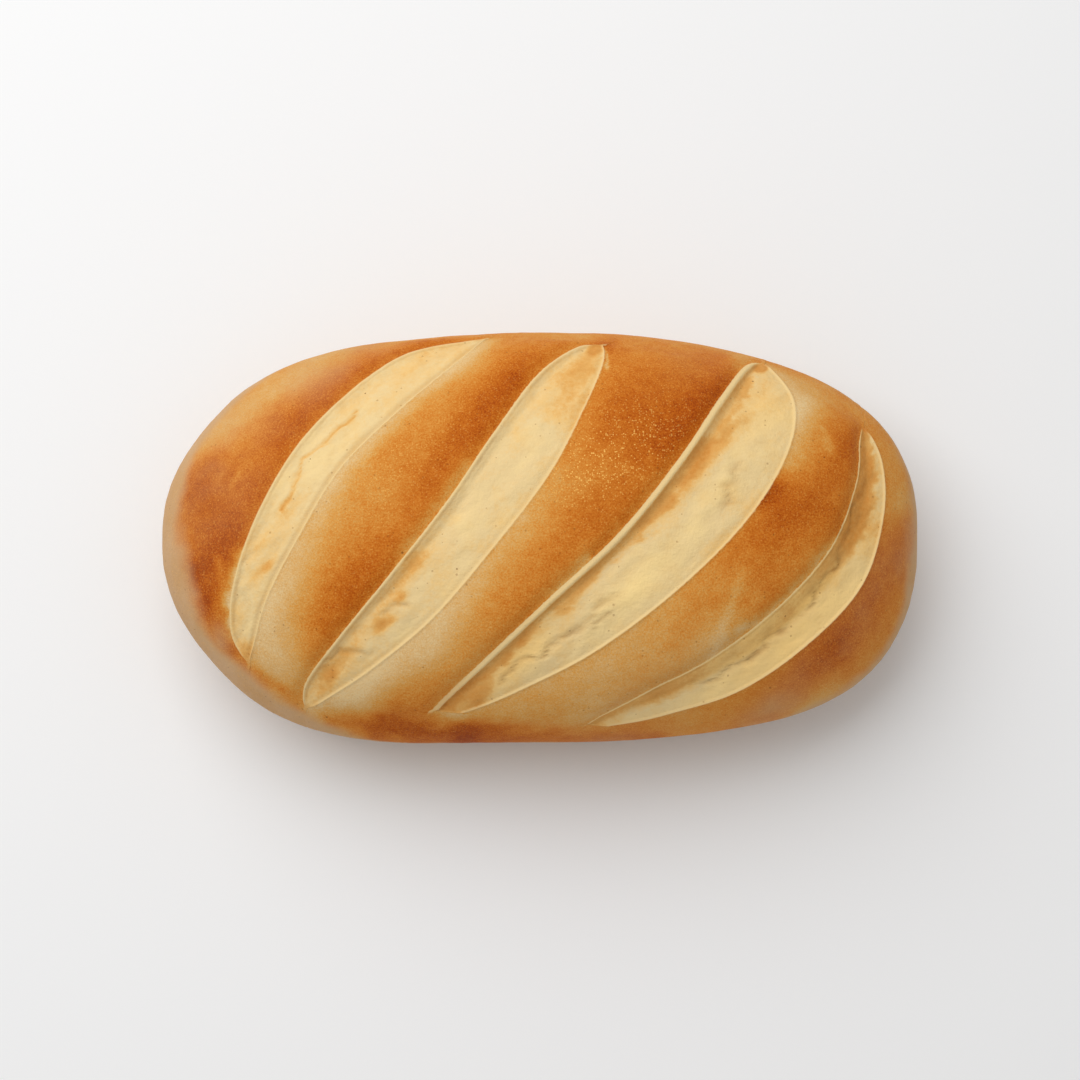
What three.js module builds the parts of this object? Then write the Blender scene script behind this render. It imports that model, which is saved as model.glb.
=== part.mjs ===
// A plump white loaf with four slanting cuts, one solid, in millimetres.
//
// The loaf lies along X and rests on its flat underside at z = 0, with its origin under its middle.
// Its skin is a bundle of hoops that lean the way the cuts lean. Each hoop runs from the base edge
// at one side, over the crown, to the base edge at the other side, and back across the underside.
// The cuts' lips are hoops too, so every lip is a clean line of edges.

import * as THREE from "three";
import { ParametricGeometry } from "three/addons/geometries/ParametricGeometry.js";
import { mergeVertices } from "three/addons/utils/BufferGeometryUtils.js";

// ---- the whole loaf
const LENGTH = 260;
const WIDTH = 142.5;
const CROWN_HEIGHT = 84;
const WAIST_HEIGHT = 35;
const BASE_SHARE = 0.78;
const WAIST_PLACE = 0.7;
const DOME_POWER = 2.3;
const SQUARENESS = 2.69;

// Hand-shaped dough is never regular: where its outline swells out or draws in.
// bearing and spread in degrees, out as a share of the radius
const SWELLS = [
  { bearing: 0, out: 0.01, spread: 9 },
  { bearing: 60, out: 0.016, spread: 14 },
  { bearing: 137, out: 0.014, spread: 10 },
  { bearing: 163, out: -0.018, spread: 7 },
  { bearing: 178, out: 0.012, spread: 9 },
  { bearing: 200, out: -0.028, spread: 8 },
  { bearing: 225, out: 0.034, spread: 14 },
  { bearing: 303, out: -0.01, spread: 14 },
  { bearing: 330, out: 0.01, spread: 10 },
];

// ---- the cuts, seen from above
// foot and head are the blade's way in and out. The lips are how far each edge bows from the
// straight line between them, to the left of it, at seven places that crowd towards the ends.
// depth is at the foot, the middle and the head. lip is how high the left lip stands, band how wide
// it is, wall the share of the gap where the floor drops, bend how hollow the floor is, and groove
// how deep a crease lies before the right rim.
const CUTS = [
  {
    foot: [-98, -46],
    head: [-19, 65],
    leftLip: [11, 19.5, 25.5, 28, 25, 18.5, 6],
    rightLip: [1.5, 6, 8.5, 10.5, 7, 3, 0.5],
    depth: [1.2, 1, 0.7],
    lip: 0.22,
    band: 0.3,
    wall: 0.16,
    bend: 1.2,
    groove: 0.4,
  },
  {
    foot: [-79.5, -60.5],
    head: [21, 61.5],
    leftLip: [4, 3.5, 2.5, 3, 6.5, 9, 6],
    rightLip: [-4.5, -11.5, -17.5, -18.5, -17, -11, -5],
    depth: [2.1, 1.3, 1.1],
    lip: 0.25,
    band: 0.45,
    wall: 0.15,
    bend: 1.4,
    groove: 0.15,
  },
  {
    foot: [-36.5, -63.5],
    head: [77.5, 60],
    leftLip: [-0.5, -2.5, -5, -7.5, -5, 0, 3],
    rightLip: [-8, -17.5, -28, -34, -35, -29.5, -18],
    depth: [2.4, 2.2, 1.9],
    lip: 0.4,
    band: 1.6,
    wall: 0.08,
    bend: 1.5,
    groove: 0.05,
  },
  {
    foot: [15.5, -67],
    head: [111, 36],
    leftLip: [-2, -8, -16.5, -21, -20.5, -12.5, -2.5],
    rightLip: [-6, -17.5, -30.5, -36.5, -36.5, -26.5, -13],
    depth: [3.1, 2.7, 1.9],
    lip: 0.2,
    band: 0.3,
    wall: 0.42,
    bend: 1,
    groove: 0,
  },
];
const HOOP_LEAN = THREE.MathUtils.degToRad(25);

// ---- the relief round a cut: heights, widths and gaps in mm, the rest as shares
const HEAD_PLACE = 0.6;
const FULL_DEPTH_GAP = 13;
const FULL_BAND_GAP = 10;
const NO_GAP = 0.01;
const BAND_TOP = 0.8;
const BAND_SPREAD = 0.6;
const BAND_SOFTNESS = 0.25;
const LEAST_WALL = 0.05;
const WALL_OVERRUN = 0.3;
const LEAST_FLOOR = 0.001;
const FLOOR_LIFT = 0.14;
const RIM_FACE = 0.8;
const LIP_WIDTH = 0.6;
const RIM_RISE = 0.25;
const RIM_WIDTH = 0.5;
const CREASE_PLACE = 1.3;
const CREASE_WIDTH = 0.8;
const EAR_RISE = 1.2;
const EAR_WIDTH = 9;
const EAR_DIP_WIDTH = 3;
const PILLOW_RISE = 1.6;
const TIP_FADE_GAP = 4;
const TIP_FADE_ROWS = 1.3;

// long soft waves in the skin: height in mm, waves across and along the hoops, and phase
const SKIN_WAVES = [
  { height: 0.5, across: 7, along: 3, phase: 0.4 },
  { height: 0.4, across: -4, along: 8, phase: 2.1 },
  { height: 0.3, across: 13, along: 6, phase: 4 },
];
const WAVES_STOP_AT = 0.85;
const WAVES_FADE = 0.3;

// ---- how finely the skin is drawn
const END_HOOPS = 12;
const RIDGE_HOOPS = 9;
const CUT_HOOPS = 11;
const HOOP_STEPS = 52;
const LIP_CROWDING = 0.75;
const CROWN_CROWDING = 0.15;
const LIP_SAMPLES = 80;
const LEAST_GAP = 0.008;

const crustMaterial = new THREE.MeshStandardMaterial({ color: 0xc98a48, roughness: 0.75, metalness: 0 });

const LEAN_COS = Math.cos(HOOP_LEAN);
const LEAN_SIN = Math.sin(HOOP_LEAN);
const QUARTER = Math.PI / 2;

// How far the outline stands out at a bearing, as a share of the regular radius.
function outlineSwell(bearing) {
  let out = 1;
  for (const swell of SWELLS) {
    const away = THREE.MathUtils.euclideanModulo(bearing - swell.bearing + 180, 360) - 180;
    out += swell.out * Math.exp(-0.5 * (away / swell.spread) ** 2);
  }
  return out;
}

// The loaf before it is cut. (u, v) is a place on the skin laid out flat as a round of radius 1:
// the crown is its centre, the widest contour is the ring at WAIST_PLACE, the base edge is its rim.
function bareSkin(u, v) {
  const reach = Math.min(Math.hypot(u, v), 1);
  const angle = Math.atan2(v, u);
  const c = Math.cos(angle);
  const s = Math.sin(angle);
  const bearing = THREE.MathUtils.radToDeg(Math.atan2(s * WIDTH, c * LENGTH));
  const squared = (Math.abs(c) ** SQUARENESS + Math.abs(s) ** SQUARENESS) ** (-1 / SQUARENESS);
  const outwards = Math.min(reach / WAIST_PLACE, 1) ** 2;
  const stretch = (1 + (squared - 1) * outwards) * (1 + (outlineSwell(bearing) - 1) * outwards);
  let radius;
  let height;
  if (reach <= WAIST_PLACE) {
    radius = Math.sin((reach / WAIST_PLACE) * QUARTER);
    height = WAIST_HEIGHT + (CROWN_HEIGHT - WAIST_HEIGHT) * Math.sqrt(1 - radius ** DOME_POWER);
  } else {
    const turn = ((reach - WAIST_PLACE) / (1 - WAIST_PLACE)) * QUARTER;
    radius = 1 - (1 - BASE_SHARE) * (1 - Math.cos(turn));
    height = WAIST_HEIGHT * (1 - Math.sin(turn));
  }
  return new THREE.Vector3((LENGTH / 2) * c * stretch * radius, (WIDTH / 2) * s * stretch * radius, height);
}

// The outward direction of the bare skin, from two short steps over it.
function skinNormal(u, v) {
  const step = 0.001;
  const alongU = bareSkin(u + step, v).sub(bareSkin(u - step, v));
  const alongV = bareSkin(u, v + step).sub(bareSkin(u, v - step));
  return alongU.cross(alongV).normalize();
}

// Where on the flat skin a point seen from above lies: steps towards it until it is reached.
function skinPlace(x, y) {
  const steps = 80;
  let u = x / LENGTH;
  let v = y / WIDTH;
  for (let i = 0; i < steps; i += 1) {
    const reached = bareSkin(u, v);
    u += (x - reached.x) / LENGTH;
    v += (y - reached.y) / WIDTH;
  }
  return new THREE.Vector2(u, v);
}

// Hoop coordinates: a runs from end to end across the hoops, b along a hoop from rim to rim.
function toHoops(place) {
  const a = place.x * LEAN_COS - place.y * LEAN_SIN;
  const along = place.x * LEAN_SIN + place.y * LEAN_COS;
  return { a, b: along / Math.sqrt(1 - a * a) };
}

function fromHoops(a, b) {
  const along = b * Math.sqrt(Math.max(1 - a * a, 0));
  return new THREE.Vector2(a * LEAN_COS + along * LEAN_SIN, along * LEAN_COS - a * LEAN_SIN);
}

// One lip of a cut, as a list of hoop places from its foot to its head.
function lipPath(cut, bows) {
  const foot = new THREE.Vector2(...cut.foot);
  const head = new THREE.Vector2(...cut.head);
  const stroke = head.clone().sub(foot);
  const sideways = new THREE.Vector2(-stroke.y, stroke.x).normalize();
  const bowCurve = new THREE.SplineCurve([0, ...bows, 0].map((bow, i) => new THREE.Vector2(i, bow)));
  const path = [];
  for (let i = 0; i <= LIP_SAMPLES; i += 1) {
    const share = i / LIP_SAMPLES;
    const along = (1 - Math.cos(share * Math.PI)) / 2;
    const point = foot.clone().addScaledVector(stroke, along);
    point.addScaledVector(sideways, bowCurve.getPoint(share).y);
    path.push(toHoops(skinPlace(point.x, point.y)));
  }
  return path;
}

// The place across the hoops where a lip passes b. Beyond its tips the lip's line goes straight on.
function lipAt(path, b) {
  if (b <= path[0].b) return path[0].a;
  for (let i = 1; i < path.length; i += 1) {
    const before = path[i - 1];
    const after = path[i];
    if (b <= after.b) return THREE.MathUtils.mapLinear(b, before.b, after.b, before.a, after.a);
  }
  return path[path.length - 1].a;
}

const lipPaths = CUTS.map((cut) => ({ left: lipPath(cut, cut.leftLip), right: lipPath(cut, cut.rightLip) }));

// A cut's two edges where they cross b, kept apart by a little so that no two hoops meet.
function cutEdges(paths, b) {
  const left = lipAt(paths.left, b);
  const right = lipAt(paths.right, b);
  const middle = (left + right) / 2;
  const half = Math.hypot((right - left) / 2, LEAST_GAP);
  return { left: middle - half, right: middle + half, open: Math.max(right - left, 0) };
}

// A cut at one row of the skin: where its lips are, and how much of the gap between them is open.
function cutRow(paths, b) {
  const edges = cutEdges(paths, b);
  const left = fromHoops(edges.left, b);
  const right = fromHoops(edges.right, b);
  const row = { edges, left: bareSkin(left.x, left.y), right: bareSkin(right.x, right.y) };
  row.real = edges.open / (edges.right - edges.left);
  return row;
}

// The shortest distance from a point to a line of places: the nearest point of each of its pieces.
function nearestDistance(point, line) {
  const piece = new THREE.Line3();
  const nearest = new THREE.Vector3();
  let shortest = Infinity;
  for (let i = 1; i < line.length; i += 1) {
    piece.set(line[i - 1], line[i]);
    piece.closestPointToPoint(point, true, nearest);
    shortest = Math.min(shortest, nearest.distanceTo(point));
  }
  return shortest;
}

function bump(distance, width) {
  return Math.exp(-((distance / width) ** 2));
}

// 0 where the cut has closed, 1 where it gapes.
function openness(gap) {
  return (gap * gap) / (gap * gap + TIP_FADE_GAP ** 2);
}

// Each value in turn replaced by the mean of its neighbours, weighted by a bell curve.
function smoothed(values, spread) {
  return values.map((_, at) => {
    const weights = values.map((__, i) => Math.exp(-0.5 * ((i - at) / spread) ** 2));
    const total = weights.reduce((sum, weight) => sum + weight, 0);
    return values.reduce((sum, value, i) => sum + weights[i] * value, 0) / total;
  });
}

// Three values, at a cut's foot, middle and head, joined by straight lines.
function alongCut([foot, middle, head], b) {
  const share = THREE.MathUtils.clamp(b / HEAD_PLACE, -1, 1);
  return THREE.MathUtils.lerp(middle, share < 0 ? foot : head, Math.abs(share));
}

// The raised band over a left lip, highest a little way inside the lip.
function lipRise(cut, distance, band) {
  return cut.lip * bump(distance - BAND_TOP * band, BAND_SPREAD * band + BAND_SOFTNESS);
}

// Height of the skin inside a cut. From the band over the left lip a wall drops, and the floor
// climbs from there to the right rim, with a fine crease before it.
function cutRelief(cut, b, fromLeft, fromRight) {
  const gap = Math.max(fromLeft + fromRight, NO_GAP);
  const depth = alongCut(cut.depth, b) * Math.tanh(gap / FULL_DEPTH_GAP) * openness(gap);
  const band = cut.band * Math.min(gap / FULL_BAND_GAP, 1);
  const wallFoot = band + Math.max(cut.wall * gap, LEAST_WALL);
  const drop = THREE.MathUtils.smoothstep(fromLeft, BAND_TOP * band, wallFoot + WALL_OVERRUN * band);
  const climb = THREE.MathUtils.clamp((fromLeft - wallFoot) / Math.max(gap - wallFoot, LEAST_FLOOR), 0, 1);
  const floor = depth * ((1 - FLOOR_LIFT) * (1 - climb) ** cut.bend + FLOOR_LIFT);
  const rimFace = THREE.MathUtils.smoothstep(fromRight, 0, RIM_FACE);
  const crease = cut.groove * bump(fromRight - CREASE_PLACE, CREASE_WIDTH);
  const lips = lipRise(cut, fromLeft, band) + RIM_RISE * bump(fromRight, RIM_WIDTH);
  return openness(gap) * (lips - crease) - drop * rimFace * floor;
}

// Height of the crust beside a cut: a fine raised line along each lip, and the ear that swells up
// before the next cut's left lip and dips again at it.
function crustRelief(rimCut, earCut, fromRim, fromEar) {
  let height = 0;
  if (rimCut) height += rimCut.open * RIM_RISE * bump(fromRim, RIM_WIDTH);
  if (earCut) {
    height += earCut.open * lipRise(earCut.cut, 0, earCut.cut.band) * bump(fromEar, LIP_WIDTH);
    height += earCut.openNear * EAR_RISE * (bump(fromEar, EAR_WIDTH) - bump(fromEar, EAR_DIP_WIDTH));
  }
  return height;
}

// The long waves of the skin, which fade out before the base edge so that the underside is flat.
function skinWaves(u, v) {
  let height = 0;
  for (const wave of SKIN_WAVES) {
    height += wave.height * Math.sin(wave.across * u + wave.along * v + wave.phase);
  }
  return height * THREE.MathUtils.smoothstep(WAVES_STOP_AT - Math.hypot(u, v), 0, WAVES_FADE);
}

// Shares from 0 to 1 that crowd towards both ends, where the lips are.
function crowded(share) {
  return share - (LIP_CROWDING * Math.sin(2 * Math.PI * share)) / (2 * Math.PI);
}

// Every hoop by the zone it is in: zone 0 is the left end, odd zones are cuts, even ones are crust.
function listHoops() {
  const zones = 2 * CUTS.length + 1;
  const hoops = [];
  for (let zone = 0; zone < zones; zone += 1) {
    const atEnd = zone === 0 || zone === zones - 1;
    const inCut = zone % 2 === 1;
    const count = atEnd ? END_HOOPS : inCut ? CUT_HOOPS : RIDGE_HOOPS;
    for (let i = 0; i < count; i += 1) {
      hoops.push({ zone, share: atEnd ? i / count : crowded(i / count) });
    }
  }
  hoops.push({ zone: zones - 1, share: 1 });
  return hoops;
}

const hoops = listHoops();

// The rows across the hoops, from rim to rim, a little closer together over the crown.
function rowPlace(step) {
  const t = (2 * step) / HOOP_STEPS - 1;
  return t * (1 - CROWN_CROWDING) + CROWN_CROWDING * t ** 3;
}

const rows = [];
for (let step = 0; step <= HOOP_STEPS; step += 1) {
  const b = rowPlace(step);
  rows.push({ b, cuts: lipPaths.map((paths, i) => ({ cut: CUTS[i], ...cutRow(paths, b) })) });
}

// Each cut's lips as lines of places, and how open it is at every row, plain and smoothed.
const lipLines = CUTS.map((_, i) => {
  const crossings = rows.map((row) => row.cuts[i]);
  const gaps = crossings.map((crossing) => crossing.left.distanceTo(crossing.right) * crossing.real);
  const near = smoothed(gaps, TIP_FADE_ROWS);
  crossings.forEach((crossing, step) => {
    crossing.open = openness(gaps[step]);
    crossing.openNear = openness(near[step]);
  });
  const crossed = crossings.filter((crossing) => crossing.real > 0);
  return { left: crossed.map((crossing) => crossing.left), right: crossed.map((crossing) => crossing.right) };
});

// One point of the finished skin. The last row goes back to the first one across the underside.
// A zone of crust lies between the rim of one cut and the ear of the next; a cut is both to itself.
function skinPoint(hoopShare, rowShare, target) {
  const hoop = hoops[Math.round(hoopShare * (hoops.length - 1))];
  const row = rows[Math.round(rowShare * (HOOP_STEPS + 1)) % (HOOP_STEPS + 1)];
  const rimAt = Math.floor((hoop.zone - 1) / 2);
  const earAt = Math.floor(hoop.zone / 2);
  const inCut = hoop.zone % 2 === 1;
  const rimCut = row.cuts[rimAt];
  const earCut = row.cuts[earAt];
  const start = inCut ? rimCut.edges.left : rimCut ? rimCut.edges.right : -1;
  const end = inCut ? rimCut.edges.right : earCut ? earCut.edges.left : 1;
  const place = fromHoops(THREE.MathUtils.lerp(start, end, hoop.share), row.b);
  target.copy(bareSkin(place.x, place.y));
  const fromRim = rimCut ? nearestDistance(target, lipLines[rimAt].right) : Infinity;
  const fromEar = earCut ? nearestDistance(target, lipLines[earAt].left) : Infinity;
  let height = crustRelief(rimCut, earCut, fromRim, fromEar);
  if (inCut) {
    const fromLeft = fromEar * rimCut.real;
    const fromRight = fromRim * rimCut.real;
    height *= 1 - openness(fromLeft + fromRight);
    height += cutRelief(rimCut.cut, row.b, fromLeft, fromRight);
  } else if (rimCut && earCut) {
    height += PILLOW_RISE * Math.sin(Math.PI * hoop.share) * rimCut.openNear * earCut.openNear;
  }
  height += skinWaves(place.x, place.y);
  if (Math.abs(row.b) < 1) target.addScaledVector(skinNormal(place.x, place.y), height);
}

// Leaves out the triangles that have shrunk to a line at the two ends of the bundle.
function dropSlivers(geometry) {
  const kept = [];
  const index = geometry.index.array;
  for (let i = 0; i < index.length; i += 3) {
    const [p, q, r] = [index[i], index[i + 1], index[i + 2]];
    if (p !== q && q !== r && r !== p) kept.push(p, q, r);
  }
  geometry.setIndex(kept);
}

function makeLoaf() {
  const drawn = new ParametricGeometry(skinPoint, hoops.length - 1, HOOP_STEPS + 1);
  drawn.deleteAttribute("normal");
  drawn.deleteAttribute("uv");
  const geometry = mergeVertices(drawn);
  dropSlivers(geometry);
  geometry.computeBoundingBox();
  const middle = geometry.boundingBox.getCenter(new THREE.Vector3());
  geometry.translate(-middle.x, -middle.y, 0);
  geometry.computeVertexNormals();
  const loaf = new THREE.Mesh(geometry, crustMaterial);
  loaf.name = "loaf";
  return loaf;
}

const bread = new THREE.Group();
bread.add(makeLoaf());

export default bread;
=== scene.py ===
# %% [markdown]
# # A plump white loaf with four slanting cuts
# The real thing is one piece of baked dough: a short oval loaf with a golden crust, slashed four
# times across the top before it went into the oven. The dough swelled, the slashes gaped, and pale
# crumb showed between the browned crusts.
#
# The measured model of the loaf is loaded first. It stays as it is, as the frame. Everything below
# makes the skin of the loaf more finely over the same form, and then bakes colour into it.

# %% Load the measured loaf
import itertools
import math

import bmesh
import bpy
import numpy as np
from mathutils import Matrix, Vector


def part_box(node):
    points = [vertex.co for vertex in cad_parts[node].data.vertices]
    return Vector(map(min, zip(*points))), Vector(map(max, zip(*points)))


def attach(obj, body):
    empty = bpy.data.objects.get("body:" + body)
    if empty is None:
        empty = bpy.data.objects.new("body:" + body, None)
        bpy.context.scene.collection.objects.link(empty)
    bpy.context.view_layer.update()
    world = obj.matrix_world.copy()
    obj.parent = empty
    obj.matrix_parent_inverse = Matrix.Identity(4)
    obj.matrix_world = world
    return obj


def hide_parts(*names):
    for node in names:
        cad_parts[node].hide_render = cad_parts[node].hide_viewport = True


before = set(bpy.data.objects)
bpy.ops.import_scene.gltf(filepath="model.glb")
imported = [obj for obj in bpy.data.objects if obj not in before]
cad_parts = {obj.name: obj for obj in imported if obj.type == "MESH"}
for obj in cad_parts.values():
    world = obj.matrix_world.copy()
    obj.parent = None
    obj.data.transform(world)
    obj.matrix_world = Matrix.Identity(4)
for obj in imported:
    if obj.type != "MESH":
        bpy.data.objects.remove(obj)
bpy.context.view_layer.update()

MM = 0.001
TINY = 1e-12
SIDES = ("left", "right")
LOAF_LOW, LOAF_HIGH = (np.array(corner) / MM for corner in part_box("loaf"))
print("measured loaf, mm:", np.round(LOAF_HIGH - LOAF_LOW, 1))

# %% [markdown]
# ## The skin, laid out flat
# A loaf is a closed bag, so its skin can be laid out as a round of radius 1: the crown is the
# centre, the widest line of the loaf is a ring, and the edge that it rests on is the rim. It could
# also be sculpted from a sphere, but then nothing would say how wide or tall it is. Here each
# place (u, v) on the round has a formula, so every size has a name, in millimetres.

# %% Sizes of the whole loaf, mm
LENGTH = 260
WIDTH = 142.5
CROWN_HEIGHT = 84
WAIST_HEIGHT = 35
BASE_SHARE = 0.78
WAIST_PLACE = 0.7
DOME_POWER = 2.3
SQUARENESS = 2.69

# Where the outline swells out or draws in: bearing, share of the radius, spread (degrees).
SWELLS = (
    (0, 0.01, 9), (60, 0.016, 14), (137, 0.014, 10), (163, -0.018, 7), (178, 0.012, 9),
    (200, -0.028, 8), (225, 0.034, 14), (303, -0.01, 14), (330, 0.01, 10),
)


# %% The bare skin, before any cut
def bells(bearing, rows):
    """The sum of bell curves round the loaf, share * exp(-(degrees away / spread)^2 / 2)."""
    away = [((bearing - centre + 180) % 360 - 180) / spread for centre, _, spread in rows]
    return sum(share * np.exp(-0.5 * place ** 2) for (_, share, _), place in zip(rows, away))


def bare_skin(u, v):
    """The uncut loaf. The outline goes over from an ellipse at the crown to a rounder-cornered
    superellipse at the waist. Above the waist the side view is a dome, the height being the root
    of 1 - radius^2.3. Below it, a quarter of an ellipse tucks in to the edge of the underside."""
    reach = np.minimum(np.hypot(u, v), 1)
    angle = np.arctan2(v, u)
    c, s = np.cos(angle), np.sin(angle)
    bearing = np.degrees(np.arctan2(s * WIDTH, c * LENGTH))
    squared = (np.abs(c) ** SQUARENESS + np.abs(s) ** SQUARENESS) ** (-1 / SQUARENESS)
    outwards = np.minimum(reach / WAIST_PLACE, 1) ** 2
    stretch = (1 + (squared - 1) * outwards) * (1 + bells(bearing, SWELLS) * outwards)
    rise = np.sin(np.minimum(reach / WAIST_PLACE, 1) * np.pi / 2)
    turn = np.clip((reach - WAIST_PLACE) / (1 - WAIST_PLACE), 0, 1) * np.pi / 2
    above = reach <= WAIST_PLACE
    radius = np.where(above, rise, 1 - (1 - BASE_SHARE) * (1 - np.cos(turn)))
    dome = WAIST_HEIGHT + (CROWN_HEIGHT - WAIST_HEIGHT) * np.sqrt(1 - rise ** DOME_POWER)
    height = np.where(above, dome, WAIST_HEIGHT * (1 - np.sin(turn)))
    x = LENGTH / 2 * c * stretch * radius
    y = WIDTH / 2 * s * stretch * radius
    return np.stack([x, y, height], axis=-1)


def unit(vectors):
    """Each vector divided by its own length."""
    return vectors / np.maximum(np.linalg.norm(vectors, axis=-1, keepdims=True), TINY)


def skin_normal(u, v, step=0.001):
    """The outward direction: the cross product of two short steps over the bare skin."""
    along_u = bare_skin(u + step, v) - bare_skin(u - step, v)
    along_v = bare_skin(u, v + step) - bare_skin(u, v - step)
    return unit(np.cross(along_u, along_v))


def skin_place(x, y, steps=80):
    """The (u, v) that lies at (x, y) seen from above: each step goes on by what is still missing."""
    u, v = x / LENGTH, y / WIDTH
    for _ in range(steps):
        reached = bare_skin(u, v)
        u = u + (x - reached[..., 0]) / LENGTH
        v = v + (y - reached[..., 1]) / WIDTH
    return u, v


print("crown, mm:", np.round(bare_skin(np.zeros(1), np.zeros(1))[0], 1))

# %% [markdown]
# ## Four cuts
# A baker draws the blade across the dough in one straight stroke, and the oven does the rest: the
# two lips part, each in its own bow. So a cut is a stroke, from where the blade went in to where it
# came out, and a few distances that each lip has moved away from it. A curve through those
# distances, crowded towards the tips, gives round ends as well as sharp ones. The other numbers say
# how the crust beside the cut baked, in three places: at its foot, its middle and its head.

# %% The strokes, how their lips parted (mm, seen from above) and how the crust beside them baked
CUTS = (
    dict(foot=(-98, -46), head=(-19, 65),
         left=(11, 19.5, 25.5, 28, 25, 18.5, 6), right=(1.5, 6, 8.5, 10.5, 7, 3, 0.5),
         depth=(1.2, 1.0, 0.7), lip=0.22, band=0.3, wall=0.16, bend=1.2, groove=0.4,
         ear=(0.14, 0.30, 0.26), halo=(0.60, 0.46, 0.42), halo_reach=(17, 6, 4.5), toasted=(0.1, 0, 0)),
    dict(foot=(-79.5, -60.5), head=(21, 61.5),
         left=(4, 3.5, 2.5, 3, 6.5, 9, 6), right=(-4.5, -11.5, -17.5, -18.5, -17, -11, -5),
         depth=(2.1, 1.3, 1.1), lip=0.25, band=0.45, wall=0.15, bend=1.4, groove=0.15,
         ear=(0.30, 0.16, 0.22), halo=(0.44, 0.22, -0.08), halo_reach=(14, 8, 3), toasted=(0.35, 0.1, 0)),
    dict(foot=(-36.5, -63.5), head=(77.5, 60),
         left=(-0.5, -2.5, -5, -7.5, -5, 0, 3), right=(-8, -17.5, -28, -34, -35, -29.5, -18),
         depth=(2.4, 2.2, 1.9), lip=0.4, band=1.6, wall=0.08, bend=1.5, groove=0.05,
         ear=(0.14, 0.18, 0.30), halo=(0.30, 0.0, 0.44), halo_reach=(15, 6, 9), toasted=(0.35, 0.6, 0.4)),
    dict(foot=(15.5, -67), head=(111, 36),
         left=(-2, -8, -16.5, -21, -20.5, -12.5, -2.5), right=(-6, -17.5, -30.5, -36.5, -36.5, -26.5, -13),
         depth=(3.1, 2.7, 1.9), lip=0.2, band=0.3, wall=0.42, bend=1.0, groove=0.0,
         ear=(-0.08, 0.04, 0.12), halo=(0.0, 0.0, 0.0), halo_reach=(6, 6, 6), toasted=(0.4, 0.35, 0.8)),
)
FOOT_TO_HEAD = (-0.6, 0.0, 0.6)
HOOP_LEAN = math.radians(25)
LEAST_GAP = 0.003
LIP_SAMPLES = 80
ZONES = 2 * len(CUTS) + 1


# %% From a stroke to a line on the skin
def through(values, t):
    """A smooth curve through evenly spaced values: each piece is a cubic that leaves and arrives
    with a slope of half the difference between the values on either side."""
    values = np.asarray(values, float)
    last = len(values) - 1
    place = np.clip(t, 0, 1) * last
    start = np.minimum(np.floor(place).astype(int), last - 1)
    w = place - start
    p0, p1 = values[np.maximum(start - 1, 0)], values[start]
    p2, p3 = values[start + 1], values[np.minimum(start + 2, last)]
    v0, v1 = (p2 - p0) / 2, (p3 - p1) / 2
    return (2 * p1 - 2 * p2 + v0 + v1) * w ** 3 + (3 * p2 - 3 * p1 - 2 * v0 - v1) * w ** 2 + v0 * w + p1


def rotated(x, y, angle):
    """Turns places about the middle: (x cos - y sin, x sin + y cos)."""
    c, s = math.cos(angle), math.sin(angle)
    return x * c - y * s, x * s + y * c


def to_hoops(u, v):
    """Hoop coordinates: a across the cuts from end to end, b along them from rim to rim, each
    hoop b being stretched by 1 / sqrt(1 - a^2) so that it runs from -1 to 1."""
    a, along = rotated(u, v, HOOP_LEAN)
    return a, along / np.sqrt(1 - a * a)


def from_hoops(a, b):
    """The inverse of to_hoops."""
    return rotated(a, b * np.sqrt(np.maximum(1 - a * a, 0)), -HOOP_LEAN)


def lip_line(cut, bows):
    """A lip as (a, b) places: stroke + sideways * bow, at (1 - cos(pi t)) / 2 along the stroke."""
    foot, head = np.array(cut["foot"], float), np.array(cut["head"], float)
    stroke = head - foot
    sideways = np.array([-stroke[1], stroke[0]]) / np.hypot(*stroke)
    t = np.linspace(0, 1, LIP_SAMPLES + 1)
    along = (1 - np.cos(t * np.pi)) / 2
    points = foot + along[:, None] * stroke + through((0, *bows, 0), t)[:, None] * sideways
    return to_hoops(*skin_place(points[:, 0], points[:, 1]))


LIPS = [{side: lip_line(cut, cut[side]) for side in SIDES} for cut in CUTS]
for cut, lips in zip(CUTS, LIPS):
    print("cut along hoops from", np.round(lips["left"][1][[0, -1]], 2))

# %% [markdown]
# ## A skin of leaning hoops
# The skin is a grid of hoops and rows, like the staves and bands of a barrel. Each hoop leans as the
# cuts lean and runs from the resting edge over the crown to the resting edge on the other side, and
# back across the underside. The lips of the cuts are themselves hoops, so that each lip is one clean
# line of edges, and hoops crowd together beside them. A plain grid laid over the loaf would cross
# the lips at an angle and show them as steps.

# %% How many hoops and rows
END_HOOPS = 42
RIDGE_HOOPS = 34
CUT_HOOPS = 34
ROWS = 284
UNDERSIDE_ROWS = 12
LIP_CROWDING = 0.78
END_CROWDING = 1.5
TOP_CROWDING = 0.225
TOP_CROWDING_POWER = 7


def crowded(share):
    """share - k sin(2 pi share) / (2 pi): steps are small at both ends and large in the middle."""
    return share - LIP_CROWDING * np.sin(2 * np.pi * share) / (2 * np.pi)


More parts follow.
